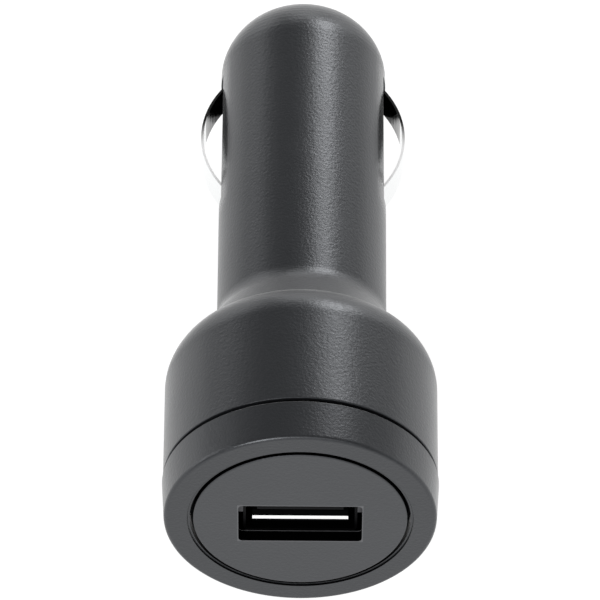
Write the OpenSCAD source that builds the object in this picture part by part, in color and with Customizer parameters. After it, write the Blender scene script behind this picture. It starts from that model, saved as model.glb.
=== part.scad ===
// USB charger plug for a 12 V car socket
//
// The plug lies along Y. Y = 0 is the barrel's root, where the barrel leaves the
// neck, and the origin is there on the axis. The nose points to +Y and the port
// faces -Y. The two side contacts are at +X and -X, and +Z is up.
// All sizes are in millimetres.

/* [Head] */
// Outer diameter of the head
head_d = 31.9; // [30:0.1:34]
// Straight side of the head, from the seam to the rounded shoulder
head_straight = 13.3; // [11:0.1:18]
// Wall of the head
head_wall = 1.8; // [1.4:0.1:2.2]
// Radius of the rounded shoulder
shoulder_r = 6; // [5.5:0.1:6.5]
// Length from the end of the straight side to the barrel's root
neck_len = 11.35; // [11:0.05:13]
// How deep the neck's cone cuts into the shoulder's round
crease_depth = 0.93817; // [0.6:0.01:1.2]
// Radius where the neck runs into the barrel
neck_fillet = 4.9; // [3:0.1:6]
// Radius in the crease between shoulder and cone
crease_fillet = 1.5; // [0.8:0.1:2]

/* [Bezel and face] */
// Length of the bezel ring that shows
bezel_len = 5.1; // [4.8:0.1:6.5]
// How far the bezel ring stands out of the head at the seam
bezel_proud = 0.1; // [0:0.05:0.2]
// How much the ring's radius drops from the seam to its front
bezel_draft = 0.25; // [0.1:0.05:0.4]
// Rounding of the bezel's front edge
bezel_edge = 0.45; // [0.2:0.05:0.8]
// Width of the dark seam between bezel and head
seam_gap = 0.5; // [0.2:0.05:0.6]
// Width of the bezel ring's flat front
bezel_rim = 2.75; // [2.5:0.05:3]
// Width of the step inside the bezel ring's front
step_w = 0.3; // [0.2:0.05:0.4]
// Depth of that step
step_depth = 0.2; // [0.1:0.05:0.4]
// Width of the gap round the face disc
face_gap = 0.34; // [0.2:0.02:0.4]
// Depth of that gap
face_gap_depth = 0.95; // [0.7:0.05:1]
// Thickness of the face plate
face_t = 1.5; // [1.3:0.1:1.8]

/* [Port] */
// Width of the port's cut-out
port_w = 14.3; // [13.8:0.1:15]
// Height of the port's cut-out
port_h = 6.75; // [6.3:0.05:7.5]
// Corner radius of the cut-out
port_corner = 0.5; // [0.3:0.1:1]
// Height of the cut-out's centre above the axis
port_z = -0.75; // [-1.2:0.05:-0.4]
// Outer width of the receptacle's shell
shell_w = 13.2; // [13:0.05:13.3]
// Outer height of the receptacle's shell
shell_h = 5.72; // [5.6:0.02:5.8]
// Sheet thickness of the shell
shell_t = 0.3; // [0.2:0.05:0.4]
// Length of the shell
shell_len = 14; // [13:0.1:15]
// Clearance between the tongue's sides and the shell's walls
tongue_gap = 0.75; // [0.65:0.05:0.9]
// Thickness of the tongue
tongue_t = 1.84; // [1.6:0.02:2]

/* [Barrel] */
// Outer diameter of the barrel
barrel_d = 20; // [19.6:0.1:20.6]
// Length of the straight barrel
barrel_len = 36.45; // [36:0.05:42]
// Length of the true cylinder at the barrel's root, before the draft starts
gauge_len = 15; // [12:0.5:15]
// How much the radius drops from there to the nose
barrel_draft = 0.06; // [0.02:0.01:0.2]
// Wall of the barrel
barrel_wall = 1.4; // [1.2:0.05:1.5]
// Length of the full nose dome past the barrel
nose_len = 8.7; // [8:0.1:10]
// How much of the dome's point is cut flat
nose_cut = 0.9; // [0.7:0.05:1.2]
// Thickness of the nose round the tip's hole
nose_wall = 1.85; // [1.5:0.05:2.2]

/* [Side contacts] */
// Distance from the end of the straight barrel back to the middle of the contacts
contact_back = 10.75; // [10.6:0.05:11.2]
// Width of the contact strip
strip_w = 4.2; // [3.6:0.1:4.6]
// Thickness of the contact strip
strip_t = 0.3; // [0.2:0.05:0.4]
// Bend radius of the bow
bow_r = 12.8; // [12.6:0.1:13.6]
// How far the bow stands out of the barrel
bow_out = 2.25; // [2:0.05:2.35]
// Clearance round the strip in its window
window_gap = 0.2; // [0.15:0.05:0.4]
// Length of the end tabs under the barrel's wall
tab_len = 1.3; // [1.1:0.1:1.4]

/* [Tip contact] */
// Diameter of the tip
tip_d = 5.8; // [5.2:0.1:6.2]
// How far the tip stands out of the nose
tip_out = 2.8; // [2.6:0.1:3.2]
// Diameter of the tip's flange
flange_d = 8.3; // [7.6:0.1:8.5]
// Thickness of the flange
flange_t = 1.2; // [0.8:0.1:1.5]
// Radial clearance of tip and flange in the nose
tip_gap = 0.2; // [0.15:0.05:0.3]
// Wire diameter of the coil spring
wire_d = 0.7; // [0.5:0.05:0.8]
// Mean diameter of the coil spring
spring_d = 6.2; // [5.6:0.1:6.6]
// Number of turns of the coil spring
spring_turns = 6.5; // [5:0.5:7]

/* [Circuit board] */
// Thickness of the board
board_t = 1.2; // [0.8:0.1:1.6]
// Room between the board's edges and the head's inner wall
board_edge_room = 3.35; // [3:0.05:4]
// Room between the board's edges and the barrel's inner wall at the barrel's root
board_mid_room = 1.2; // [1.1:0.05:2]
// Room between them beside the side contacts
board_slim_room = 3.4; // [3.3:0.05:4]
// Room between the output capacitor and the head's inner wall
out_cap_room = 1.65; // [1.2:0.05:3]
// Length of the output capacitor
out_cap_len = 11; // [8:0.5:11.5]
// Diameter of the input capacitor
in_cap_d = 6.3; // [5:0.1:6.5]
// Length of the input capacitor
in_cap_len = 11; // [8:0.5:11]
// Diameter of the inductor's core
coil_d = 8.4; // [6:0.1:8.5]
// Height of the inductor's core
coil_h = 5; // [4:0.1:5.5]

/* [Hidden] */
$fn = 72;

// Along the axis, from the barrel's root
contact_mid = barrel_len - contact_back;
shoulder_y = -neck_len;
seam_y = shoulder_y - head_straight;
face_y = seam_y - bezel_len;
nose_y = barrel_len + nose_len - nose_cut;
nose_inner_y = nose_y - nose_wall;

// Radii
head_r = head_d / 2;
head_in_r = head_r - head_wall;
barrel_r = barrel_d / 2;
barrel_in_r = barrel_r - barrel_wall;

// Slope of the neck's cone, degrees: it runs tangent to the neck's fillet and enters
// the shoulder's round by the crease's depth
neck_reach = barrel_r + neck_fillet - head_r + shoulder_r;
neck_angle = atan2(neck_len, neck_reach)
    - acos((shoulder_r - crease_depth + neck_fillet) / norm([neck_reach, neck_len]));
neck_in_drop = 0.5;
shoulder_in_turn = 55;

// Bezel ring and face plate
bezel_rear_r = head_r + bezel_proud;
bezel_front_r = bezel_rear_r - bezel_draft;
step_r = bezel_front_r - bezel_rim;
bezel_bore_r = step_r - step_w;
face_r = bezel_bore_r - face_gap;
face_edge = 0.2;
plate_gap = 0.1;
plate_r = bezel_bore_r - plate_gap;
shelf_w = 1.25;
shelf_r = bezel_bore_r - shelf_w;
shelf_t = 1.7;
skirt_gap = 0.1;
skirt_r = head_in_r - skirt_gap;
skirt_t = 1.3;
skirt_len = 4;
skirt_chamfer = 0.4;
bead_from = 2.6;
bead_y = seam_y + bead_from;
bead_h = 0.3;
bead_half = 0.5;
bead_flat = 0.1;
groove_back = 0.3;
groove_front = 0.1;
rim_seat = 0.65;
rim_edge = 0.15;
seam_bevel = 0.15;

// Port
port_back_y = face_y + face_t;
shell_gap = 0.05;
shell_y = port_back_y + shell_gap;
shell_back_y = shell_y + shell_len;
shell_drop = 0.4;
shell_z = port_z - shell_drop;
shell_top = shell_z + shell_h / 2;
shell_floor = shell_z - shell_h / 2 + shell_t;
tongue_under = 0.65;
tongue_inset = 0.25;
tongue_root = 0.1;
tongue_w = shell_w - 2 * (shell_t + tongue_gap);
tongue_z = shell_floor + tongue_under;
tongue_top = tongue_z + tongue_t;
tongue_y = shell_y + tongue_inset;
nose_flat = 0.86;
nose_chamfer = 0.5;
block_t = 2;
block_gap = 0.1;
block_inset = 0.2;
block_y = shell_back_y - block_t - block_inset;
strip_pitch_outer = 3.5;
strip_pitch_inner = 1;
pin_w = 1;
pin_t = 0.25;
pin_gap = 0.05;
pin_from = 1.6;
pin_ramp = 0.4;
pin_nose_t = 0.15;
pin_rise_gap = 0.3;
pin_foot = 1.5;
lip_out = 0.75;
lip_rise = 0.6;
lip_h = 1.7;
lip_low = shell_z + lip_rise;
lip_high = lip_low + lip_h;
leg_from = 8;
leg_y = shell_y + leg_from;
leg_len = 2;
leg_out = 0.5;
leg_gap = 0.1;
cut_over = 1;
shell_bend = 0.6;
finger_from = 2.5;
finger_y = shell_y + finger_from;
finger_w = 2;
finger_len = 6;
finger_cut = 0.4;

// Circuit board
board_z = shell_top;
board_top = board_z + board_t;
board_from = 3.2;
board_y = face_y + board_from;
board_half = sqrt(pow(head_in_r, 2) - pow(board_top, 2)) - board_edge_room;
board_mid = 2 * (barrel_in_r - board_mid_room);
board_slim = 2 * (barrel_in_r - board_slim_room);
step_1_past = 3.35;
step_2_before = 12.75;
board_step_1 = shoulder_y + step_1_past;
board_step_2 = contact_mid - step_2_before;
rail_gap = 0.15;
rail_t = 1;
rail_root = 0.3;
rail_skirt_gap = 0.6;
rail_from = 1;
rail_short = 0.5;
grip = 0.6;

// Parts on the board's top, in line from the nose towards the port
fuse_size = [2.6, 6, 2.6];
fuse_cap = 1;
fuse_past = 1.55;
fuse_y = contact_mid + fuse_past;
resistor_size = [1.25, 2, 0.5];
resistor_cap = 0.4;
resistor_x = 3;
resistor_back = 3.2;
resistor_y = fuse_y - resistor_back;
chip_size = [3.9, 4.9, 1.4];
chip_back = 5.8;
chip_y = resistor_y - chip_back;
chip_pitch = 1.27;
chip_lift = 0.15;
chip_lead_w = 0.4;
chip_lead_t = 0.2;
chip_lead_z = 0.55;
chip_lead_out = 1.2;
ceramic_size = [1.6, 3.2, 1.4];
ceramic_cap = 0.5;
ceramic_back = 9.25;
ceramic_y = chip_y - ceramic_back;
diode_size = [2.6, 4.4, 2.1];
diode_cap = 0.6;
diode_back = 5.5;
diode_y = ceramic_y - diode_back;
cap_t = 0.03;

// Round cans: one under the board in the barrel, one on it against the head's wall
in_cap_y = 0.5;
out_cap_inset = 1.5;
out_cap_past = 2.35;
out_cap_end = shoulder_y + out_cap_past;
inductor_past = 3.6;
inductor_y = shoulder_y + inductor_past;
reach_edge = board_half - out_cap_inset;
reach_wall = head_in_r - out_cap_room;
reach_sum = reach_wall + board_top - reach_edge;
out_cap_r = sqrt(pow(reach_sum, 2) + pow(reach_wall, 2) - pow(reach_edge, 2) - pow(board_top, 2))
    - reach_sum;

// Tip, its spring and its seat
tip_r = tip_d / 2;
hole_r = tip_r + tip_gap;
flange_r = flange_d / 2;
sleeve_play = 0.05;
sleeve_in_r = flange_r + tip_gap + sleeve_play;
sleeve_t = 0.8;
flange_y = nose_inner_y - tip_gap;
flange_back_y = flange_y - flange_t;
stem_r = 1.7;
stem_len = 3.5;
seat_ahead = 6;
seat_y = contact_mid + seat_ahead;
seat_t = 0.5;
seat_inset = 0.3;
seat_r = sleeve_in_r + sleeve_t - seat_inset;
seat_back_y = seat_y - seat_t;
seat_gap = 0.1;
sleeve_y = seat_y + seat_gap;
seat_boss = 0.6;
boss_gap = 0.3;
boss_draft = 0.3;
seat_tab_w = 4;
seat_tab_t = 0.4;
seat_tab_len = 4;
spring_r = spring_d / 2;
wire_r = wire_d / 2;
stem_chamfer = 0.4;
flange_chamfer = 0.2;
spring_gap = 0.02;
end_turns = 0.75;
end_pitch = 1.05 * wire_d;

// Side contacts
crown_x = barrel_r + bow_out;
bow_x = crown_x - bow_r;
bow_half = 9;
bow_angle = asin(bow_half / bow_r);
tab_gap = 0.15;
tab_x = sqrt(pow(barrel_in_r, 2) - pow(strip_w / 2, 2)) - tab_gap;
window_w = strip_w + 2 * window_gap;
tab_y = bow_half + (bow_x + bow_r * cos(bow_angle) - tab_x) / tan(bow_angle);
window_end_gap = 0.7 * window_gap;
window_len = 2 * (tab_y + window_end_gap);
lead_d = 0.7;
lead_inset = 1.9;
lead_back = 3.4;
lead_bend = 0.1;
lead_slack = 0.4;

// Points of an arc round c, angles from the first axis towards the second
function arc(c, r, from, to, n) =
    [for (i = [0 : n]) let (a = from + (to - from) * i / n) c + r * [cos(a), sin(a)]];

// Corner points of a rectangle with round corners, centred
function round_box(w, h, r, n = 4) = concat(
    arc([w / 2 - r, h / 2 - r], r, 0, 90, n),
    arc([-w / 2 + r, h / 2 - r], r, 90, 180, n),
    arc([-w / 2 + r, -h / 2 + r], r, 180, 270, n),
    arc([w / 2 - r, -h / 2 + r], r, 270, 360, n));

// Turned pieces are drawn as [radius, place along the axis]
module turned() {
    rotate([-90, 0, 0]) rotate_extrude() children();
}

// A flat outline in X and Z, pushed along +Y
module pushed(y, len, z = 0) {
    translate([0, y, z]) rotate([-90, 0, 0]) linear_extrude(len) children();
}

// A box given by its low and high corners
module block(low, high) {
    translate(low) cube(high - low);
}

// A round wire swept along points, closed at both ends
module swept_wire(path, r, sides) {
    n = len(path);
    function tangent(i) = let (d = path[min(i + 1, n - 1)] - path[max(i - 1, 0)]) d / norm(d);
    function ring(i) = let (
        t = tangent(i),
        side = cross(t, [0, 1, 0.31]),
        u = side / norm(side),
        v = cross(t, u)
    ) [for (k = [0 : sides - 1]) path[i] + r * (cos(360 * k / sides) * u + sin(360 * k / sides) * v)];
    polyhedron(
        points = [for (i = [0 : n - 1]) each ring(i)],
        faces = concat(
            [[for (k = [0 : sides - 1]) k]],
            [for (i = [0 : n - 2], k = [0 : sides - 1])
                [i * sides + k, (i + 1) * sides + k,
                 (i + 1) * sides + (k + 1) % sides, i * sides + (k + 1) % sides]],
            [[for (k = [sides - 1 : -1 : 0]) (n - 1) * sides + k]]));
}

// Outline of shoulder, crease, cone and neck fillet
shoulder_c = [head_r - shoulder_r, shoulder_y];
neck_c = [barrel_r + neck_fillet, 0];
cone_foot = neck_c + neck_fillet * [cos(180 + neck_angle), sin(180 + neck_angle)];
cone_out = [cos(neck_angle), sin(neck_angle)];
cone_up = [sin(neck_angle), -cos(neck_angle)];
crease_from = cone_foot + crease_fillet * cone_out - shoulder_c;
crease_along = crease_from * cone_up;
crease_t = -crease_along
    - sqrt(pow(crease_along, 2) - crease_from * crease_from + pow(shoulder_r + crease_fillet, 2));
crease_c = shoulder_c + crease_from + crease_t * cone_up;
crease_angle = atan2(crease_c[1] - shoulder_c[1], crease_c[0] - shoulder_c[0]);

// Angle on the dome at which its flat starts, and at which the cavity meets the sleeve
flat_angle = asin((nose_len - nose_cut) / nose_len);
sleeve_out_r = sleeve_in_r + sleeve_t;
dome_in_past = 1.05;
dome_in_len = nose_len - nose_cut - nose_wall + dome_in_past;
sleeve_angle = acos(sleeve_out_r / barrel_in_r);

function housing_outside() = concat(
    [[head_in_r + rim_seat, seam_y], [head_in_r + rim_seat, seam_y + seam_gap]],
    arc([head_r - rim_edge, seam_y + seam_gap + rim_edge], rim_edge, -90, 0, 4),
    arc(shoulder_c, shoulder_r, 0, crease_angle, 16),
    arc(crease_c, crease_fillet, 180 + crease_angle, 180 + neck_angle, 5),
    arc(neck_c, neck_fillet, 180 + neck_angle, 180, 8),
    [[barrel_r, gauge_len]],
    [for (i = [0 : 14]) let (a = flat_angle * i / 14)
        [(barrel_r - barrel_draft) * cos(a), barrel_len + nose_len * sin(a)]]);

function housing_inside() = concat(
    [[hole_r, nose_y], [hole_r, nose_inner_y], [sleeve_in_r, nose_inner_y],
     [sleeve_in_r, sleeve_y], [sleeve_out_r, sleeve_y]],
    [for (i = [8 : -1 : 0]) let (a = sleeve_angle * i / 8)
        [barrel_in_r * cos(a), barrel_len + dome_in_len * sin(a)]],
    [[barrel_in_r, cone_foot[1] - neck_in_drop]],
    arc(shoulder_c, shoulder_r - head_wall, shoulder_in_turn, 0, 6),
    [[head_in_r, bead_y + bead_half + groove_back], [head_in_r + bead_h, bead_y + groove_back],
     [head_in_r + bead_h, bead_y - groove_front], [head_in_r, bead_y - bead_half - groove_front],
     [head_in_r, seam_y]]);

// Rail pair that holds one edge of the board, on the +X side
module rail(x0, x1, y0, y1) {
    block([x0, y0, board_z - rail_gap - rail_t], [x1, y1, board_z - rail_gap]);
    block([x0, y0, board_top + rail_gap], [x1, y1, board_top + rail_gap + rail_t]);
}

// Head, neck, barrel and nose in one moulding
module housing() color("dimgray") {
    difference() {
        union() {
            turned() polygon(concat(housing_outside(), housing_inside()));
            for (side = [0, 1]) mirror([side, 0, 0]) {
                rail(board_half - grip, head_in_r + rail_root,
                     seam_y + skirt_len + rail_skirt_gap, shoulder_y);
                rail(board_mid / 2 - grip, barrel_in_r + rail_root,
                     rail_from, board_step_2 - rail_short);
            }
        }
        for (side = [0, 1]) mirror([side, 0, 0])
            block([tab_x - strip_t - cut_over, contact_mid - window_len / 2, -window_w / 2],
                  [barrel_r + cut_over, contact_mid + window_len / 2, window_w / 2]);
    }
}

// Ring that closes the head, with a skirt that snaps inside
module bezel_ring() color("dimgray") {
    turned() polygon(concat(
        [[bezel_bore_r, face_y + step_depth], [step_r, face_y + step_depth], [step_r, face_y]],
        arc([bezel_front_r - bezel_edge, face_y + bezel_edge], bezel_edge, -90, 0, 5),
        [[bezel_rear_r, seam_y - seam_bevel], [bezel_rear_r - seam_bevel, seam_y],
         [skirt_r, seam_y], [skirt_r, bead_y - bead_half],
         [skirt_r + bead_h, bead_y - bead_flat], [skirt_r + bead_h, bead_y + bead_flat],
         [skirt_r, bead_y + bead_half], [skirt_r, seam_y + skirt_len - skirt_chamfer],
         [skirt_r - skirt_chamfer, seam_y + skirt_len], [skirt_r - skirt_t, seam_y + skirt_len],
         [skirt_r - skirt_t, port_back_y + shelf_t], [shelf_r, port_back_y + shelf_t],
         [shelf_r, port_back_y], [bezel_bore_r, port_back_y]]));
}

// Round plate with the port's cut-out, its rear rim seated on the bezel ring's shelf
module face_plate() color("gray") {
    difference() {
        turned() polygon(concat(
            [[0, face_y]],
            arc([face_r - face_edge, face_y + face_edge], face_edge, -90, 0, 4),
            [[face_r, face_y + face_gap_depth], [plate_r, face_y + face_gap_depth],
             [plate_r, port_back_y], [0, port_back_y]]));
        pushed(face_y - cut_over, face_t + 2 * cut_over, port_z)
            polygon(round_box(port_w, port_h, port_corner));
    }
}

// Folded steel shell, open at both ends, with a lip and a leg on each side and spring fingers
module usb_shell() color("silver") {
    difference() {
        union() {
            pushed(shell_y, shell_len, shell_z) polygon(round_box(shell_w, shell_h, shell_bend));
            for (side = [0, 1]) mirror([side, 0, 0]) {
                block([shell_w / 2 - shell_t, leg_y, shell_z],
                      [shell_w / 2, leg_y + leg_len, board_top + leg_out]);
                block([shell_w / 2 - shell_t, shell_y, lip_low],
                      [shell_w / 2 + lip_out, shell_y + shell_t, lip_high]);
            }
        }
        pushed(shell_y - cut_over, shell_len + 2 * cut_over, shell_z) polygon(
            round_box(shell_w - 2 * shell_t, shell_h - 2 * shell_t, shell_bend - shell_t));
        for (x = [-shell_w / 4, shell_w / 4]) {
            for (edge = [-1, 1])
                block([x + edge * finger_w / 2 - finger_cut / 2, finger_y, shell_z - shell_h],
                      [x + edge * finger_w / 2 + finger_cut / 2, finger_y + finger_len,
                       shell_z + shell_h]);
            block([x - finger_w / 2, finger_y, shell_z - shell_h],
                  [x + finger_w / 2, finger_y + finger_cut, shell_z + shell_h]);
        }
    }
}

// Places of the four contact strips across the tongue
function pin_x(i) = [-strip_pitch_outer, -strip_pitch_inner, strip_pitch_inner, strip_pitch_outer][i];

// Insulating tongue with its rear block
module usb_tongue() color("white") {
    nose_mid = (tongue_z + tongue_top) / 2;
    difference() {
        union() {
            rotate([90, 0, 90]) translate([0, 0, -tongue_w / 2]) linear_extrude(tongue_w) polygon([
                [tongue_y, nose_mid - nose_flat / 2], [tongue_y, nose_mid + nose_flat / 2],
                [tongue_y + nose_chamfer, tongue_top], [block_y + tongue_root, tongue_top],
                [block_y + tongue_root, tongue_z], [tongue_y + nose_chamfer, tongue_z]]);
            pushed(block_y, block_t, shell_z) polygon(round_box(
                shell_w - 2 * shell_t - block_gap, shell_h - 2 * shell_t - block_gap, shell_bend));
        }
        for (i = [0 : 3])
            block([pin_x(i) - pin_w / 2 - pin_gap, block_y - cut_over, tongue_top],
                  [pin_x(i) + pin_w / 2 + pin_gap, block_y + block_t + cut_over,
                   tongue_top + pin_t + pin_gap]);
    }
}

// One contact strip: along the tongue, up behind the block and back under the board
module usb_contact(i) color("gold") {
    start_y = tongue_y + pin_from;
    rise_y = shell_back_y + pin_rise_gap;
    rotate([90, 0, 90]) translate([0, 0, pin_x(i) - pin_w / 2]) linear_extrude(pin_w) polygon([
        [start_y, tongue_top], [start_y, tongue_top + pin_nose_t],
        [start_y + pin_ramp, tongue_top + pin_t], [rise_y - pin_t, tongue_top + pin_t],
        [rise_y - pin_t, board_z], [rise_y + pin_foot, board_z],
        [rise_y + pin_foot, board_z - pin_t], [rise_y, board_z - pin_t], [rise_y, tongue_top]]);
}

module usb_contact_1() usb_contact(0);
module usb_contact_2() usb_contact(1);
module usb_contact_3() usb_contact(2);
module usb_contact_4() usb_contact(3);

// Board in three widths: in the head, in the barrel's root, between the contacts
module main_board() color("darkgreen") {
    a = board_half;
    b = board_mid / 2;
    c = board_slim / 2;
    translate([0, 0, board_z]) linear_extrude(board_t) difference() {
        polygon([
            [-a, board_y], [a, board_y], [a, board_step_1 - (a - b)], [b, board_step_1],
            [b, board_step_2 - (b - c)], [c, board_step_2], [c, seat_back_y],
            [-c, seat_back_y], [-c, board_step_2], [-b, board_step_2 - (b - c)],
            [-b, board_step_1], [-a, board_step_1 - (a - b)]]);
        for (side = [-1, 1])
            translate([side * (shell_w - shell_t) / 2, leg_y + leg_len / 2])
                square([shell_t + 2 * leg_gap, leg_len + 2 * leg_gap], center = true);
    }
}

// Brick of a small part on the board's top, with a metal cap on each end along Y
module chip_part(x, y, size, cap_len, body) {
    w = size[0] / 2;
    l = size[1] / 2;
    color(body) block([x - w, y - l, board_top], [x + w, y + l, board_top + size[2]]);
    color("silver") for (end = [0, 1]) translate([x, y, board_top]) mirror([0, end, 0])
        block([-w - cap_t, l - cap_len, 0], [w + cap_t, l + cap_t, size[2] + cap_t]);
}

// Eight-lead converter chip with bent leads
module regulator_chip() {
    w = chip_size[0] / 2;
    h = chip_size[2];
    slope = chip_lead_t;
    color("black") translate([0, chip_y - chip_size[1] / 2, board_top + chip_lift])
        rotate([90, 0, 180]) linear_extrude(chip_size[1]) polygon(
            [[-w, h / 2], [-w + slope, 0], [w - slope, 0], [w, h / 2], [w - slope, h], [slope - w, h]]);
    color("silver") for (side = [0, 1], k = [-1.5 : 1 : 1.5]) mirror([side, 0, 0])
        translate([w - slope, chip_y + k * chip_pitch + chip_lead_w / 2, board_top])
            rotate([90, 0, 0]) linear_extrude(chip_lead_w) polygon([
                [0, chip_lead_z + chip_lead_t], [chip_lead_out / 2, chip_lead_z + chip_lead_t],
                [chip_lead_out / 2 + slope, chip_lead_t], [chip_lead_out, chip_lead_t],
                [chip_lead_out, 0], [chip_lead_out / 2, 0], [chip_lead_out / 2 - slope, chip_lead_z],
                [0, chip_lead_z]]);
}

module diode() chip_part(0, diode_y, diode_size, diode_cap, "black");
module fuse() chip_part(0, fuse_y, fuse_size, fuse_cap, "ivory");
module resistor_1() chip_part(-resistor_x, resistor_y, resistor_size, resistor_cap, "black");
module resistor_2() chip_part(resistor_x, resistor_y, resistor_size, resistor_cap, "black");
module ceramic_capacitor() chip_part(0, ceramic_y, ceramic_size, ceramic_cap, "tan");

// Capacitor can lying along Y, with its rolled neck and its sleeve's lip
module can(r, len) {
    lip = 0.7;
    dish = 0.3;
    edge = 0.25;
    roll = 0.35;
    neck_from = 1.5;
    neck_to = 2.6;
    turned() polygon([[0, dish], [r - lip, dish], [r - lip, 0], [r - edge + 0.05, 0], [r, edge],
        [r, neck_from], [r - roll, neck_from + 0.4], [r - roll, neck_to - 0.4], [r, neck_to],
        [r, len - dish], [r - dish, len], [0, len]]);
}

module input_capacitor() color("midnightblue")
    translate([0, in_cap_y, board_z - in_cap_d / 2]) can(in_cap_d / 2, in_cap_len);

module output_capacitor() color("midnightblue")
    translate([out_cap_r + out_cap_inset - board_half, out_cap_end - out_cap_len, board_top + out_cap_r])
        can(out_cap_r, out_cap_len);

// Drum core of ferrite, standing under the board
module inductor_core() color("dimgray") {
    rim = 0.9;
    root = 1.1;
    translate([0, inductor_y, board_z - coil_h]) rotate_extrude() polygon([
        [0, 0], [coil_d / 2, 0], [coil_d / 2, rim], [coil_d / 4, root],
        [coil_d / 4, coil_h - root], [coil_d / 2, coil_h - rim], [coil_d / 2, coil_h], [0, coil_h]]);
}

// Copper winding on the core, its outer turns showing as ridges
module inductor_winding() color("chocolate") {
    rows = 8;
    low = 1.25;
    under_rim = 0.5;
    core_gap = 0.02;
    step = (coil_h - 2 * low) / rows;
    turn_r = step / 2 - 0.001;
    reach = coil_d / 2 - under_rim;
    inner = coil_d / 4 + core_gap;
    translate([0, inductor_y, board_z - coil_h]) rotate_extrude() polygon(concat(
        [[inner, low]],
        [for (i = [0 : rows - 1]) each arc([reach, low + (i + 0.5) * step], turn_r, -90, 90, 4)],
        [[inner, coil_h - low]]));
}

// Plate that the spring stands on, with its tab under the board
module spring_seat() color("silver") {
    boss_r = spring_r - wire_r - boss_gap;
    turned() polygon([[0, seat_back_y], [seat_r, seat_back_y], [seat_r, seat_y], [boss_r, seat_y],
        [boss_r - boss_draft, seat_y + seat_boss], [0, seat_y + seat_boss]]);
    block([-seat_tab_w / 2, seat_back_y - seat_tab_len, board_z - seat_tab_t],
          [seat_tab_w / 2, seat_y - seat_t / 5, board_z]);
}

// Coil spring with closed ends, between seat and flange
function spring_rise(t) =
    let (low = end_turns, high = spring_turns - end_turns, rise = low * end_pitch,
         free = flange_back_y - seat_y - wire_d - 2 * (spring_gap + rise))
    t < low ? t * end_pitch
    : t > high ? rise + free + (t - high) * end_pitch
    : rise + free * (t - low) / (high - low);

module tip_spring() color("silver") {
    steps = 16;
    swept_wire([for (i = [0 : spring_turns * steps]) let (t = i / steps)
        [spring_r * cos(360 * t), seat_y + wire_r + spring_gap + spring_rise(t),
         spring_r * sin(360 * t)]],
        wire_r, 8);
}

// Turned tip with its flange, and the stem that centres the spring
module tip_contact() color("silver") {
    end_y = nose_y + tip_out;
    stem_y = flange_back_y - stem_len;
    turned() polygon(concat(
        [[0, stem_y], [stem_r - stem_chamfer, stem_y], [stem_r, stem_y + stem_chamfer],
         [stem_r, flange_back_y], [flange_r, flange_back_y],
         [flange_r, flange_y - flange_chamfer], [flange_r - flange_chamfer, flange_y],
         [tip_r, flange_y]],
        arc([0, end_y - tip_r], tip_r, 0, 90, 12)));
}

// Half of the strip's outline, from the crown to the tab, at a depth t under its outer face
function strip_side(t) = concat(
    arc([bow_x, 0], bow_r - t, 0, bow_angle, 12),
    [[tab_x - t, tab_y - t * tan(bow_angle / 2)], [tab_x - t, tab_y + tab_len]]);

// Bowed contact strip in the +X window, its end tabs under the barrel's wall
module contact_strip() {
    upper = strip_side(0);
    lower = strip_side(strip_t);
    n = len(upper);
    translate([0, contact_mid, -strip_w / 2]) linear_extrude(strip_w) polygon(concat(
        [for (i = [n - 1 : -1 : 1]) [upper[i][0], -upper[i][1]]],
        upper,
        [for (i = [n - 1 : -1 : 0]) lower[i]],
        [for (i = [1 : n - 1]) [lower[i][0], -lower[i][1]]]));
}

module right_contact() color("gainsboro") contact_strip();
module left_contact() color("gainsboro") mirror([1, 0, 0]) contact_strip();

// Flexible lead from the board's underside to the strip's front tab
module contact_lead() {
    start = [board_mid / 2 - lead_inset, board_step_2 - lead_back, board_z - lead_d / 2];
    end = [tab_x - strip_t - lead_d / 2, contact_mid - tab_y - tab_len / 2, 0];
    bend = [start[0] + lead_bend, (start[1] + end[1]) / 2 + lead_slack, board_z - lead_d / 2];
    swept_wire([for (i = [0 : 8]) let (t = i / 8)
        pow(1 - t, 2) * start + 2 * t * (1 - t) * bend + pow(t, 2) * end], lead_d / 2, 8);
}

module right_lead() color("red") contact_lead();
module left_lead() color("red") mirror([1, 0, 0]) contact_lead();

housing();
bezel_ring();
face_plate();
usb_shell();
usb_tongue();
usb_contact_1();
usb_contact_2();
usb_contact_3();
usb_contact_4();
main_board();
regulator_chip();
diode();
fuse();
resistor_1();
resistor_2();
ceramic_capacitor();
input_capacitor();
output_capacitor();
inductor_core();
inductor_winding();
spring_seat();
tip_spring();
tip_contact();
right_contact();
left_contact();
right_lead();
left_lead();
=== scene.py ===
import math
import bmesh
import bpy
from mathutils import Matrix, Vector


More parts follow.
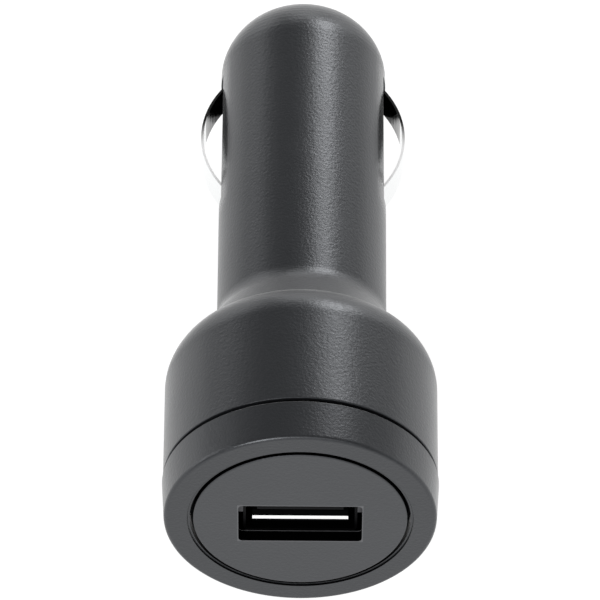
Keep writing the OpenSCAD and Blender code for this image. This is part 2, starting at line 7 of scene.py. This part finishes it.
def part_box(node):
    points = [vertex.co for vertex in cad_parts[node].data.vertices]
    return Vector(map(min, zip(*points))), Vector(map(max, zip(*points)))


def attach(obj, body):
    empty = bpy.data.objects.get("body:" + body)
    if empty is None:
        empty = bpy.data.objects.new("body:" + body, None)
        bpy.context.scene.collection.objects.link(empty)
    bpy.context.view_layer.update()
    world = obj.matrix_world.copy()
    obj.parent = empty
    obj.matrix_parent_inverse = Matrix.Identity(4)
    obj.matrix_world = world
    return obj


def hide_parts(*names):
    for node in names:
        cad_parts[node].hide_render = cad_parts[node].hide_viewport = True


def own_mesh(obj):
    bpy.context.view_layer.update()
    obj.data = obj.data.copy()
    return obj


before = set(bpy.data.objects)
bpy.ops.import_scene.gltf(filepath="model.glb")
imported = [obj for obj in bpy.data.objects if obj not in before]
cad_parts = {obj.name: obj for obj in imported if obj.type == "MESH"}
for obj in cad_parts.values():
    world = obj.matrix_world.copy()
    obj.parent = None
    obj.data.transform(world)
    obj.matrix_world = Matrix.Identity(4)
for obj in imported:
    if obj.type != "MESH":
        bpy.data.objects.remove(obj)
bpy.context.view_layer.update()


# Camera
# The photograph looks down on the plug from its port end through a long lens.
# The plug's axis leans a little to the right in it, which is the camera's roll.
camera_elevation = math.radians(51.87)
camera_roll = math.radians(0.42)
camera_distance = 0.8
aim = Vector((-0.00021, 0.0025, 0))
camera_data = bpy.data.cameras.new("camera")
camera_data.sensor_width = 36
camera_data.lens = 405.7
camera = bpy.data.objects.new("camera", camera_data)
bpy.context.scene.collection.objects.link(camera)
towards_camera = Vector((0, -math.cos(camera_elevation), math.sin(camera_elevation)))
camera.matrix_world = (
    Matrix.Translation(aim + towards_camera * camera_distance)
    @ Matrix.Rotation(math.pi / 2 - camera_elevation, 4, "X")
    @ Matrix.Rotation(camera_roll, 4, "Z")
)
bpy.context.scene.camera = camera
bpy.context.scene.view_settings.view_transform = "Standard"


# Table
# A white table top. The plug lies on its bezel's rim and on the side of its nose, so
# the table leans against the plug's own frame by the angle between the two.
MM = 0.001
rim_y, rim_r = -24.8 * MM, 16.04 * MM
nose_y, nose_long, nose_r = 36.45 * MM, 8.7 * MM, 9.94 * MM
lean = math.radians(5.6)
for _ in range(6):
    nose_drop = math.hypot(nose_r * math.cos(lean), nose_long * math.sin(lean))
    nose_reach = nose_y * math.sin(lean) + nose_drop
    rim_reach = rim_y * math.sin(lean) + rim_r * math.cos(lean)
    lean += (rim_reach - nose_reach) / (nose_y - rim_y)
table_drop = rim_y * math.sin(lean) + rim_r * math.cos(lean)
table_half = 4

bm = bmesh.new()
bmesh.ops.create_grid(bm, x_segments=1, y_segments=1, size=table_half)
bmesh.ops.transform(bm, verts=bm.verts, matrix=Matrix.Rotation(lean, 4, "X")
                    @ Matrix.Translation((0, 0, -table_drop)))
table_mesh = bpy.data.meshes.new("table")
bm.to_mesh(table_mesh)
bm.free()
table = bpy.data.objects.new("table", table_mesh)
bpy.context.scene.collection.objects.link(table)

white_top = bpy.data.materials.new("white_table_top")
white_top.use_nodes = True
tree = white_top.node_tree
tree.nodes.clear()
light_path = tree.nodes.new("ShaderNodeLightPath")
seen_directly = tree.nodes.new("ShaderNodeMath")
seen_directly.operation = "MAXIMUM"
seen_at_all = tree.nodes.new("ShaderNodeMath")
seen_at_all.operation = "MAXIMUM"
paper = tree.nodes.new("ShaderNodeBsdfDiffuse")
paper.inputs["Color"].default_value = (0.25, 0.25, 0.25, 1)
glow = tree.nodes.new("ShaderNodeEmission")
glow.inputs["Strength"].default_value = 0.9
lit_paper = tree.nodes.new("ShaderNodeAddShader")
plain_paper = tree.nodes.new("ShaderNodeBsdfDiffuse")
plain_paper.inputs["Color"].default_value = (0.8, 0.8, 0.8, 1)
choose = tree.nodes.new("ShaderNodeMixShader")
out = tree.nodes.new("ShaderNodeOutputMaterial")
tree.links.new(light_path.outputs["Is Camera Ray"], seen_directly.inputs[0])
tree.links.new(light_path.outputs["Is Glossy Ray"], seen_directly.inputs[1])
tree.links.new(seen_directly.outputs[0], seen_at_all.inputs[0])
tree.links.new(light_path.outputs["Is Transmission Ray"], seen_at_all.inputs[1])
tree.links.new(paper.outputs[0], lit_paper.inputs[0])
tree.links.new(glow.outputs[0], lit_paper.inputs[1])
tree.links.new(seen_at_all.outputs[0], choose.inputs[0])
tree.links.new(plain_paper.outputs[0], choose.inputs[1])
tree.links.new(lit_paper.outputs[0], choose.inputs[2])
tree.links.new(choose.outputs[0], out.inputs["Surface"])
table_mesh.materials.append(white_top)


# Room and lamps
# A dim room, white where the camera looks past the table. Small lamps behind on the
# right draw the bright stripe along barrel and head, and the large ones round the plug
# light its outlines and its face.
world = bpy.data.worlds.new("studio")
bpy.context.scene.world = world
world.use_nodes = True
tree = world.node_tree
room = tree.nodes["Background"]
room.inputs["Color"].default_value = (1, 1, 1, 1)
room.inputs["Strength"].default_value = 0.3
white = tree.nodes.new("ShaderNodeBackground")
white.inputs["Strength"].default_value = 1
light_path = tree.nodes.new("ShaderNodeLightPath")
choose = tree.nodes.new("ShaderNodeMixShader")
tree.links.new(light_path.outputs["Is Camera Ray"], choose.inputs[0])
tree.links.new(room.outputs[0], choose.inputs[1])
tree.links.new(white.outputs[0], choose.inputs[2])
tree.links.new(choose.outputs[0], tree.nodes["World Output"].inputs["Surface"])


def soft_box(name, place, size, power):
    """A square lamp that looks at the plug. Place and size are in metres, power in watts."""
    lamp = bpy.data.lights.new(name, "AREA")
    lamp.shape = "SQUARE"
    lamp.size = size
    lamp.energy = power
    box = bpy.data.objects.new(name, lamp)
    bpy.context.scene.collection.objects.link(box)
    turn = Vector(place).to_track_quat("Z", "Y").to_matrix().to_4x4()
    box.matrix_world = Matrix.Translation(place) @ turn


soft_box("key_core", (0.1245, 0.288, 0.197), 0.12, 0.4)
soft_box("key_glow", (0.435, 0.617, 0.655), 0.5, 0.15)
soft_box("head_key", (0.05, 0.053, 0.098), 0.04, 0.011)
soft_box("left_back_box", (-0.565, 0.807, 0.174), 0.5, 1.1)
soft_box("right_back_box", (0.565, 0.807, 0.174), 0.5, 1)
soft_box("back_box", (0, 0.95, 0.31), 0.4, 0.8)
soft_box("left_box", (-0.967, 0.085, 0.242), 0.6, 2.6)
soft_box("right_box", (0.967, 0.085, 0.242), 0.6, 1.2)
soft_box("front_box", (0, -1, 0.55), 1.2, 4.5)
soft_box("edge_box", (-0.4, -0.75, 0.52), 0.25, 2.8)


# Housing
# Head, neck, barrel and domed nose are one moulding of black plastic with a fine matt
# grain, and it leaves the mould in one piece. It is smoother beside the two windows.
def new_material(name):
    """An empty material with its shader and its node tree."""
    material = bpy.data.materials.new(name)
    material.use_nodes = True
    return material, material.node_tree.nodes["Principled BSDF"], material.node_tree


def dress(node, material):
    """Gives a node's mesh its material."""
    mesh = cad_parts[node].data
    mesh.materials.clear()
    mesh.materials.append(material)


def plastic(name, colour, roughness, grain, gloss=0.5, sheen=0):
    """Moulded plastic: a fine grain in the surface, and its colour and gloss a little cloudy."""
    material, shader, tree = new_material(name)
    shader.inputs["Specular IOR Level"].default_value = gloss
    shader.inputs["Specular Tint"].default_value = (0.92, 0.95, 1, 1)
    shader.inputs["Sheen Weight"].default_value = sheen
    shader.inputs["Sheen Roughness"].default_value = 0.24
    place = tree.nodes.new("ShaderNodeTexCoord")
    grit = tree.nodes.new("ShaderNodeTexNoise")
    grit.inputs["Scale"].default_value = 3000
    grit.inputs["Detail"].default_value = 3
    grit.inputs["Roughness"].default_value = 0.5
    bump = tree.nodes.new("ShaderNodeBump")
    bump.inputs["Strength"].default_value = grain
    bump.inputs["Distance"].default_value = 0.06 * MM
    cloud = tree.nodes.new("ShaderNodeTexNoise")
    cloud.inputs["Scale"].default_value = 180
    cloud.inputs["Detail"].default_value = 4
    spread = tree.nodes.new("ShaderNodeMapRange")
    spread.inputs["To Min"].default_value = roughness - 0.04
    spread.inputs["To Max"].default_value = roughness + 0.04
    tint = tree.nodes.new("ShaderNodeMix")
    tint.data_type = "RGBA"
    tint.inputs["A"].default_value = (*[c * 0.75 for c in colour], 1)
    tint.inputs["B"].default_value = (*[c * 1.25 for c in colour], 1)
    tree.links.new(place.outputs["Object"], grit.inputs["Vector"])
    tree.links.new(place.outputs["Object"], cloud.inputs["Vector"])
    tree.links.new(grit.outputs["Fac"], bump.inputs["Height"])
    tree.links.new(bump.outputs["Normal"], shader.inputs["Normal"])
    tree.links.new(cloud.outputs["Fac"], spread.inputs["Value"])
    tree.links.new(spread.outputs["Result"], shader.inputs["Roughness"])
    tree.links.new(grit.outputs["Fac"], tint.inputs["Factor"])
    tree.links.new(tint.outputs["Result"], shader.inputs["Base Color"])
    return material


def places(material):
    """A material's node tree, and how far a point lies across, along and up the plug."""
    tree = material.node_tree
    place = tree.nodes.new("ShaderNodeTexCoord")
    apart = tree.nodes.new("ShaderNodeSeparateXYZ")
    tree.links.new(place.outputs["Object"], apart.inputs[0])
    return tree, apart.outputs["X"], apart.outputs["Y"], apart.outputs["Z"]


def paint(material, socket, mask, value):
    """Lays a colour or a number over what a shader socket has, where the mask is 1."""
    tree = material.node_tree
    target = tree.nodes["Principled BSDF"].inputs[socket]
    is_colour = target.type == "RGBA"
    coat = tree.nodes.new("ShaderNodeMix")
    coat.data_type = "RGBA" if is_colour else "FLOAT"
    if target.is_linked:
        tree.links.new(target.links[0].from_socket, coat.inputs["A"])
    else:
        coat.inputs["A"].default_value = target.default_value
    coat.inputs["B"].default_value = (*value, 1) if is_colour else value
    tree.links.new(mask, coat.inputs["Factor"])
    tree.links.new(coat.outputs["Result"], target)


def fade(tree, value, none, full):
    """A mask that rises softly from none to full as a value goes from the one to the other."""
    rise = tree.nodes.new("ShaderNodeMapRange")
    rise.interpolation_type = "SMOOTHSTEP"
    rise.inputs["From Min"].default_value = none
    rise.inputs["From Max"].default_value = full
    tree.links.new(value, rise.inputs["Value"])
    return rise.outputs["Result"]


def both(tree, one, other):
    """Where two masks overlap."""
    product = tree.nodes.new("ShaderNodeMath")
    product.operation = "MULTIPLY"
    tree.links.new(one, product.inputs[0])
    tree.links.new(other, product.inputs[1])
    return product.outputs[0]


moulding_black = (0.0092, 0.01, 0.0115)
housing_black = plastic("housing_plastic", moulding_black, 0.34, 0.55, gloss=0.7, sheen=0.6)
tree, _, along, up = places(housing_black)
strip_low, strip_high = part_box("right_contact")
smooth_half, smooth_blur, end_blur = 3.4 * MM, 1.6 * MM, 2 * MM
beside_windows = both(tree, fade(tree, up, smooth_half + smooth_blur, smooth_half),
                      fade(tree, up, -smooth_half - smooth_blur, -smooth_half))
along_windows = both(tree, fade(tree, along, strip_low[1] - end_blur, strip_low[1] + end_blur),
                     fade(tree, along, strip_high[1] + end_blur, strip_high[1] - end_blur))
paint(housing_black, "Roughness", both(tree, beside_windows, along_windows), 0.12)
dress("housing", housing_black)


# Bezel ring
# A ring of the same black plastic snaps into the head and frames the face disc. The
# walls of its step and bore are painted near black as the shade in the groove.
def within(tree, value, low, high):
    """1 where a value lies between two bounds, and 0 elsewhere."""
    test = tree.nodes.new("ShaderNodeMath")
    test.operation = "COMPARE"
    test.inputs[1].default_value = (low + high) / 2
    test.inputs[2].default_value = (high - low) / 2
    tree.links.new(value, test.inputs[0])
    return test.outputs[0]


def outside(tree, mask):
    """A mask turned round."""
    rest = tree.nodes.new("ShaderNodeMath")
    rest.operation = "SUBTRACT"
    rest.inputs[0].default_value = 1
    tree.links.new(mask, rest.inputs[1])
    return rest.outputs[0]


def radius(tree, across, up):
    """How far a point lies from the plug's axis."""
    flat = tree.nodes.new("ShaderNodeCombineXYZ")
    reach = tree.nodes.new("ShaderNodeVectorMath")
    reach.operation = "LENGTH"
    tree.links.new(across, flat.inputs["X"])
    tree.links.new(up, flat.inputs["Z"])
    tree.links.new(flat.outputs[0], reach.inputs[0])
    return reach.outputs["Value"]


def make_metal(material, mask, colour, roughness=None):
    """Turns the masked part to metal of a colour and, where it is given, a gloss."""
    paint(material, "Base Color", mask, colour)
    paint(material, "Metallic", mask, 1)
    if roughness is not None:
        paint(material, "Roughness", mask, roughness)


def paint_recess_shade(material, mask):
    """Paints the masked walls as near-black metal: painted shade in a recess."""
    make_metal(material, mask, (0.002, 0.002, 0.0022), 0.6)


bezel_black = plastic("bezel_plastic", moulding_black, 0.34, 0.55, gloss=0.7, sheen=0.6)
tree, across, _, up = places(bezel_black)
from_axis = radius(tree, across, up)
step_wall = within(tree, from_axis, 13.02 * MM, 13.07 * MM)
bore_wall = within(tree, from_axis, 12.6 * MM, 12.77 * MM)
# painted shade: the groove's step and bore walls are painted near black
paint_recess_shade(bezel_black, step_wall)
paint_recess_shade(bezel_black, bore_wall)
dress("bezel_ring", bezel_black)


# Face plate
# A flat disc of black plastic, held in the bezel ring. The walls of its port opening
# and its outer wall are painted near black as shade, a painted highlight runs round the
# opening's front edge, and a paler painted highlight lies along its back edge.
face_black = plastic("face_plastic", moulding_black, 0.38, 0.6, gloss=0.84)
tree, across, along, up = places(face_black)
plate_low, plate_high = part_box("face_plate")
port_half_w, port_half_h, port_mid = 7.15 * MM, 3.375 * MM, -0.75 * MM
highlight_margin = 0.12 * MM
mask_half_w, mask_half_h = port_half_w + highlight_margin, port_half_h + highlight_margin
opening = both(tree, within(tree, across, -mask_half_w, mask_half_w),
               within(tree, up, port_mid - mask_half_h, port_mid + mask_half_h))
front_skin = 0.05 * MM
at_front = within(tree, along, plate_low[1] - MM, plate_low[1] + front_skin)
# painted highlight: a lighter rim round the port opening's front edge
paint(face_black, "Base Color", both(tree, opening, at_front), (0.075, 0.076, 0.08))
# painted shade: the opening's walls behind the front are painted near black
paint_recess_shade(face_black, both(tree, opening, outside(tree, at_front)))
edge = 0.1 * MM
near_rim = within(tree, radius(tree, across, up), 12.33 * MM, 12.7 * MM)
# painted shade: the plate's outer wall and the groove's floor are painted near black
paint_recess_shade(face_black, both(tree, near_rim, within(tree, along, plate_low[1] + edge, plate_high[1])))
# painted highlight: a paler line along the back edge of the opening
back_edge_highlight = both(tree, opening, within(tree, along, plate_high[1] - edge, plate_high[1] + MM))
paint(face_black, "Base Color", back_edge_highlight, (0.1, 0.1, 0.105))
paint(face_black, "Metallic", back_edge_highlight, 0)
dress("face_plate", face_black)


# USB shell
# Thin steel sheet folded into a box, its steel painted near black as the shade inside
# the port. Its side lips rest behind the face plate and its legs go through the board.
def metal(name, colour, roughness, along_axis):
    """Rolled or drawn metal: fine lines along one axis in its gloss."""
    material, shader, tree = new_material(name)
    shader.inputs["Base Color"].default_value = (*colour, 1)
    shader.inputs["Metallic"].default_value = 1
    place = tree.nodes.new("ShaderNodeTexCoord")
    stretch = tree.nodes.new("ShaderNodeMapping")
    stretch.inputs["Scale"].default_value = [300 if axis == along_axis else 9000 for axis in "XYZ"]
    lines = tree.nodes.new("ShaderNodeTexNoise")
    lines.inputs["Scale"].default_value = 1
    lines.inputs["Detail"].default_value = 3
    gloss = tree.nodes.new("ShaderNodeMapRange")
    gloss.inputs["To Min"].default_value = roughness * 0.7
    gloss.inputs["To Max"].default_value = roughness * 1.3
    tree.links.new(place.outputs["Object"], stretch.inputs["Vector"])
    tree.links.new(stretch.outputs["Vector"], lines.inputs["Vector"])
    tree.links.new(lines.outputs["Fac"], gloss.inputs["Value"])
    tree.links.new(gloss.outputs["Result"], shader.inputs["Roughness"])
    return material


# painted shade: the shell's steel is painted near black
shell_steel = metal("shell_steel", (0.007, 0.007, 0.0075), 0.45, "Y")
tree, across, _, _ = places(shell_steel)
lip_from = 6.62 * MM
lips = outside(tree, within(tree, across, -lip_from, lip_from))
# painted shade, less deep: the side lips by the opening are painted dark grey
paint(shell_steel, "Base Color", lips, (0.1, 0.1, 0.105))
dress("usb_shell", shell_steel)


# Tongue
# A black moulded tongue in the lower half of the port. Its front edge is painted as a
# white mirror strip whose normal is turned up to the lamps, a painted highlight, and a
# paler field lies round the contacts.
tongue_black = plastic("tongue_plastic", (0.003, 0.003, 0.0033), 0.6, 0.15, gloss=0)
tree, across, along, up = places(tongue_black)
tongue_low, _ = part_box("usb_tongue")
strip_skin, strip_bottom = 0.04 * MM, -2.22 * MM
front_highlight = both(tree, within(tree, along, tongue_low[1] - MM, tongue_low[1] + strip_skin),
                  within(tree, up, strip_bottom, 0))
field_half, field_from, field_to = 5 * MM, 0.62 * MM, 9 * MM
field = both(tree, within(tree, across, -field_half, field_half),
             within(tree, along, tongue_low[1] + field_from, tongue_low[1] + field_to))
paint(tongue_black, "Base Color", field, (0.04, 0.04, 0.042))
# painted highlight: the front edge is white mirror metal, its normal turned up to catch the lamps
make_metal(tongue_black, front_highlight, (1, 1, 1), 0.3)
lamp_facing_normal = tree.nodes.new("ShaderNodeMix")
lamp_facing_normal.data_type = "VECTOR"
upward = tree.nodes.new("ShaderNodeCombineXYZ")
upward.inputs["Y"].default_value = -0.95
upward.inputs["Z"].default_value = 0.31
shader = tree.nodes["Principled BSDF"]
tree.links.new(front_highlight, lamp_facing_normal.inputs["Factor"])
tree.links.new(shader.inputs["Normal"].links[0].from_socket, lamp_facing_normal.inputs["A"])
tree.links.new(upward.outputs[0], lamp_facing_normal.inputs["B"])
tree.links.new(lamp_facing_normal.outputs["Result"], shader.inputs["Normal"])
dress("usb_tongue", tongue_black)


# Port contacts
# Four strips of phosphor bronze with a gilt face lie in the tongue and turn up
# behind it to the board.
gilt = metal("contact_gilding", (0.85, 0.62, 0.25), 0.25, "Y")
for strip in ("usb_contact_1", "usb_contact_2", "usb_contact_3", "usb_contact_4"):
    dress(strip, gilt)


# Circuit board
# Glass laminate under a green mask, with copper tracks showing through it, bare
# yellowish edges, and tinned pads where the parts are soldered.
def facing(tree):
    """The parts of the direction that the surface faces, by axis."""
    surface = tree.nodes.new("ShaderNodeNewGeometry")
    normal = tree.nodes.new("ShaderNodeSeparateXYZ")
    tree.links.new(surface.outputs["Normal"], normal.inputs[0])
    return normal.outputs


board_green = plastic("board_laminate", (0.012, 0.11, 0.035), 0.35, 0.1)
tree, across, along, _ = places(board_green)
place = tree.nodes.new("ShaderNodeTexCoord")
tracks = tree.nodes.new("ShaderNodeTexBrick")
tracks.offset = 0.37
tracks.squash = 1.6
tracks.inputs["Scale"].default_value = 260
tracks.inputs["Mortar Size"].default_value = 0.045
tracks.inputs["Mortar Smooth"].default_value = 0.2
tracks.inputs["Color1"].default_value = (0, 0, 0, 1)
tracks.inputs["Color2"].default_value = (0, 0, 0, 1)
tracks.inputs["Mortar"].default_value = (1, 1, 1, 1)
tree.links.new(place.outputs["Object"], tracks.inputs["Vector"])
paint(board_green, "Base Color", tracks.outputs["Color"], (0.03, 0.2, 0.06))
cut_edges = within(tree, facing(tree)["Z"], -0.5, 0.5)
paint(board_green, "Base Color", cut_edges, (0.42, 0.36, 0.16))
pad_side, pad_end = 0.25 * MM, 0.5 * MM
for part in ("diode", "fuse", "resistor_1", "resistor_2", "ceramic_capacitor"):
    part_low, part_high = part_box(part)
    for end_y in (part_low[1], part_high[1]):
        pad = both(tree, within(tree, across, part_low[0] - pad_side, part_high[0] + pad_side),
                   within(tree, along, end_y - pad_end, end_y + pad_end))
        make_metal(board_green, pad, (0.62, 0.62, 0.6))
dress("main_board", board_green)


# Regulator chip
# A black epoxy body with a round mark by its first lead, moulded round eight tinned
# leads that are soldered to the board.
chip_black = plastic("chip_epoxy", (0.02, 0.02, 0.021), 0.55, 0.3)
tree, across, _, _ = places(chip_black)
chip_low, chip_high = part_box("regulator_chip")
body_half = 1.93 * MM
leads = outside(tree, within(tree, across, -body_half, body_half))
make_metal(chip_black, leads, (0.66, 0.66, 0.65), 0.3)
mark_x, mark_inset, mark_r = -1.2 * MM, 0.9 * MM, 0.3 * MM
place = tree.nodes.new("ShaderNodeTexCoord")
from_mark = tree.nodes.new("ShaderNodeVectorMath")
from_mark.operation = "DISTANCE"
from_mark.inputs[1].default_value = (mark_x, chip_low[1] + mark_inset, chip_high[2])
tree.links.new(place.outputs["Object"], from_mark.inputs[0])
mark = within(tree, from_mark.outputs["Value"], -mark_r, mark_r)
paint(chip_black, "Base Color", mark, (0.09, 0.09, 0.09))
dress("regulator_chip", chip_black)


# Diode, fuse, resistors and ceramic capacitor
# Bricks of epoxy, ceramic or glass with a tinned cap on each end, soldered down
# in one pass. The diode has a pale stripe at one end.
def end_caps(material, node, length):
    """Tinned caps of a given length on both ends of a small part."""
    tree, _, along, _ = places(material)
    low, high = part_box(node)
    caps = outside(tree, within(tree, along, low[1] + length, high[1] - length))
    make_metal(material, caps, (0.68, 0.68, 0.67), 0.28)
    return material


diode_black = plastic("diode_epoxy", (0.022, 0.022, 0.023), 0.5, 0.3)
tree, _, along, _ = places(diode_black)
diode_low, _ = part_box("diode")
stripe_y, stripe_w = diode_low[1] + 0.95 * MM, 0.5 * MM
paint(diode_black, "Base Color", within(tree, along, stripe_y, stripe_y + stripe_w), (0.5, 0.5, 0.5))
dress("diode", end_caps(diode_black, "diode", 0.62 * MM))
fuse_cream = plastic("fuse_ceramic", (0.72, 0.69, 0.6), 0.4, 0.2)
dress("fuse", end_caps(fuse_cream, "fuse", 1.02 * MM))
for resistor in ("resistor_1", "resistor_2"):
    glaze = plastic(resistor + "_glaze", (0.015, 0.015, 0.018), 0.25, 0.1)
    dress(resistor, end_caps(glaze, resistor, 0.42 * MM))
ceramic_tan = plastic("capacitor_ceramic", (0.42, 0.27, 0.13), 0.35, 0.15)
dress("ceramic_capacitor", end_caps(ceramic_tan, "ceramic_capacitor", 0.52 * MM))


# Round capacitors
# Aluminium cans in a shrunk dark blue sleeve with a pale stripe down one side. The
# can shows bare at both ends.
stripe_share = 0.2
for can in ("input_capacitor", "output_capacitor"):
    sleeve = plastic(can + "_sleeve", (0.012, 0.018, 0.09), 0.3, 0.1)
    tree, across, _, _ = places(sleeve)
    can_low, can_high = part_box(can)
    stripe_x = can_high[0] - stripe_share * (can_high[0] - can_low[0])
    stripe = within(tree, across, stripe_x, can_high[0] + MM)
    paint(sleeve, "Base Color", stripe, (0.55, 0.58, 0.62))
    ends = outside(tree, within(tree, facing(tree)["Y"], -0.85, 0.85))
    make_metal(sleeve, ends, (0.75, 0.76, 0.77))
    dress(can, sleeve)


# Inductor
# A drum of sintered ferrite wound with enamelled copper wire, its turns side by side.
# It is soldered to the board.
dress("inductor_core", plastic("sintered_ferrite", (0.05, 0.05, 0.053), 0.6, 0.6))
dress("inductor_winding", metal("enamelled_copper", (0.55, 0.18, 0.06), 0.3, "Z"))


# Side contacts
# Bowed strips of plated spring steel that stand out of the barrel's windows, held by
# their end tabs under its wall. Their sheared edges are matt and painted near white as a
# painted reflection of the white room, darkening to painted shade towards the nose, and
# the inner face is painted dark grey as a painted reflection of the barrel, but for its middle.
strip_steel = metal("strip_steel", (0.87, 0.88, 0.88), 0.14, "Y")
tree, across, along, _ = places(strip_steel)
normal = facing(tree)
outward = tree.nodes.new("ShaderNodeMath")
outward.operation = "MULTIPLY"
tree.links.new(normal["X"], outward.inputs[0])
tree.links.new(across, outward.inputs[1])
just_inward = -1e-5
bright_from, bright_to = 22 * MM, 28.2 * MM
inner_dark_reflection = both(tree, within(tree, outward.outputs[0], -1, just_inward),
             outside(tree, within(tree, along, bright_from, bright_to)))
# painted reflection: the inner face is painted dark grey as the dark barrel it faces, except in its
# middle
paint(strip_steel, "Base Color", inner_dark_reflection, (0.12, 0.12, 0.12))
sheared = outside(tree, within(tree, normal["Z"], -0.6, 0.6))
# painted reflection: the matt sheared edges are painted near white as the white room they face
paint(strip_steel, "Base Color", sheared, (0.9, 0.9, 0.9))
paint(strip_steel, "Metallic", sheared, 0)
shade_from, shade_to = 23.9 * MM, 28.4 * MM
# painted shade: the sheared edges fade to black towards the nose
shaded = both(tree, sheared, fade(tree, along, shade_from, shade_to))
paint(strip_steel, "Base Color", shaded, (0.008, 0.008, 0.008))
dress("right_contact", strip_steel)
dress("left_contact", strip_steel)


# Tip contact, spring and seat
# The tip is turned from brass and nickelled, so faint rings run round its axis. The
# spring is drawn wire and its seat a stamped plate.
nickel = metal("turned_nickel", (0.78, 0.76, 0.73), 0.22, "X")
tree = nickel.node_tree
place = tree.nodes.new("ShaderNodeTexCoord")
rings = tree.nodes.new("ShaderNodeTexWave")
rings.wave_type = "RINGS"
rings.rings_direction = "Y"
rings.inputs["Scale"].default_value = 900
rings.inputs["Distortion"].default_value = 1.5
turning = tree.nodes.new("ShaderNodeBump")
turning.inputs["Strength"].default_value = 0.15
turning.inputs["Distance"].default_value = 0.01 * MM
tree.links.new(place.outputs["Object"], rings.inputs["Vector"])
tree.links.new(rings.outputs["Fac"], turning.inputs["Height"])
tree.links.new(turning.outputs["Normal"], tree.nodes["Principled BSDF"].inputs["Normal"])
dress("tip_contact", nickel)
dress("spring_seat", metal("seat_plate", (0.7, 0.69, 0.66), 0.32, "X"))


def yielding(name, node, material):
    """A smooth-shaded copy of a node, fixed to the body, that takes the node's place."""
    shape = bmesh.new()
    shape.from_mesh(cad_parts[node].data)
    bmesh.ops.remove_doubles(shape, verts=shape.verts[:], dist=0.0005 * MM)
    mesh = bpy.data.meshes.new(name)
    shape.to_mesh(mesh)
    shape.free()
    mesh.shade_smooth()
    mesh.set_sharp_from_angle(angle=math.radians(40))
    mesh.materials.clear()
    mesh.materials.append(material)
    piece = bpy.data.objects.new(name, mesh)
    bpy.context.scene.collection.objects.link(piece)
    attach(piece, "body")
    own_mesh(piece)
    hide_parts(node)


spring_wire = metal("spring_wire", (0.5, 0.5, 0.51), 0.3, "Y")
yielding("coil_spring", "tip_spring", spring_wire)


# Leads
# Stranded wire in a soft red sleeve runs from the board's underside to each strip.
lead_red = plastic("lead_sleeve", (0.42, 0.02, 0.015), 0.38, 0.12)
yielding("right_wire", "right_lead", lead_red)
yielding("left_wire", "left_lead", lead_red)
